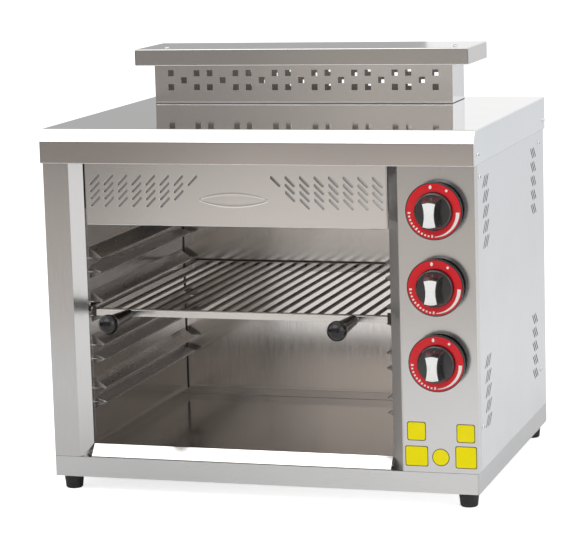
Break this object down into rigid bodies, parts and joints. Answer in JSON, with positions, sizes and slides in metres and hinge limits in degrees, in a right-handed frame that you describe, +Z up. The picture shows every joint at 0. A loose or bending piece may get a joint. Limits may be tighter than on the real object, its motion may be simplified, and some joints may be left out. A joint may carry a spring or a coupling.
{
  "type": "cheese melter",
  "caption": "Counter-top gas grill with overhead burners over an open-fronted cavity, a sliding wire grid on runners, a pull-out drip tray, a perforated rear flue and push-and-turn taps.",
  "frame": {"origin": "on the counter, at the bottom centre of the overall box", "axes": "+Z up, -Y out of the open front, +X to the right when the front is faced (towards the taps)"},
  "size_m": [0.604, 0.5432, 0.583],
  "materials": {
    "brushed_steel": "brushed",
    "polished_steel": "polished, fine grain",
    "bright_wire": "bright",
    "heat_steel": "heat-stained",
    "ceramic": "porous",
    "brass": "machined",
    "copper": "drawn tube",
    "rubber": "matt",
    "bakelite": "satin",
    "red_dial": "gloss",
    "white_inlay": "gloss"
  },
  "bodies": {
    "cabinet": {"base_pan": "brushed_steel", "foot_pads": "rubber", "foot_bolts": "bright_wire", "floor_plate": "polished_steel", "left_post": "brushed_steel", "control_panel": "brushed_steel", "left_side_panel": "brushed_steel", "right_side_panel": "brushed_steel", "back_panel": "brushed_steel", "top_cover": "polished_steel", "upper_panel": "brushed_steel", "flue_front_grille": "brushed_steel", "flue_back_grille": "brushed_steel", "flue_end_plates": "brushed_steel", "flue_cap": "polished_steel", "casing_screws": "bright_wire", "left_liner": "polished_steel", "right_liner": "polished_steel", "back_liner": "polished_steel", "left_runners": "polished_steel", "right_runners": "polished_steel", "burner_rails": "heat_steel", "front_burner": "heat_steel", "middle_burner": "heat_steel", "rear_burner": "heat_steel", "front_plaques": "ceramic", "middle_plaques": "ceramic", "rear_plaques": "ceramic", "burner_screens": "heat_steel", "front_venturi": "heat_steel", "middle_venturi": "heat_steel", "rear_venturi": "heat_steel", "injectors": "brass", "supply_pipe": "heat_steel", "gas_inlet": "brass", "upper_valve": "brass", "middle_valve": "brass", "lower_valve": "brass", "feed_tubes": "copper", "thermocouples": "copper"},
    "grid": {"grid_frame": "bright_wire", "grid_rods": "bright_wire", "grid_handles": "bakelite", "handle_studs": "bright_wire"},
    "tray": {"drip_tray": "polished_steel"},
    "push_upper": {"upper_collar": "brass"},
    "knob_upper": {"upper_spindle": "bright_wire", "upper_knob": "bakelite", "upper_dial": "red_dial", "upper_pointer": "white_inlay"},
    "push_middle": {"middle_collar": "brass"},
    "knob_middle": {"middle_spindle": "bright_wire", "middle_knob": "bakelite", "middle_dial": "red_dial", "middle_pointer": "white_inlay"},
    "push_lower": {"lower_collar": "brass"},
    "knob_lower": {"lower_spindle": "bright_wire", "lower_knob": "bakelite", "lower_dial": "red_dial", "lower_pointer": "white_inlay"}
  },
  "joints": [
    {"name": "grid_slide", "type": "slide", "parent": "cabinet", "child": "grid", "axis": [0, -1, 0], "range_m": [0, 0.47]},
    {"name": "tray_slide", "type": "slide", "parent": "cabinet", "child": "tray", "axis": [0, -1, 0], "range_m": [0, 0.47]},
    {"name": "tap_push_upper", "type": "slide", "parent": "cabinet", "child": "push_upper", "axis": [0, 1, 0], "range_m": [0, 0.004], "stiffness_N_per_m": 1500},
    {"name": "tap_turn_upper", "type": "hinge", "parent": "push_upper", "child": "knob_upper", "pos_m": [0.24825, -0.20335, 0.3975], "axis": [0, -1, 0], "range_deg": [0, 180]},
    {"name": "tap_push_middle", "type": "slide", "parent": "cabinet", "child": "push_middle", "axis": [0, 1, 0], "range_m": [0, 0.004], "stiffness_N_per_m": 1500},
    {"name": "tap_turn_middle", "type": "hinge", "parent": "push_middle", "child": "knob_middle", "pos_m": [0.24825, -0.20335, 0.2975], "axis": [0, -1, 0], "range_deg": [0, 180]},
    {"name": "tap_push_lower", "type": "slide", "parent": "cabinet", "child": "push_lower", "axis": [0, 1, 0], "range_m": [0, 0.004], "stiffness_N_per_m": 1500},
    {"name": "tap_turn_lower", "type": "hinge", "parent": "push_lower", "child": "knob_lower", "pos_m": [0.24825, -0.20335, 0.1975], "axis": [0, -1, 0], "range_deg": [0, 180]}
  ]
}
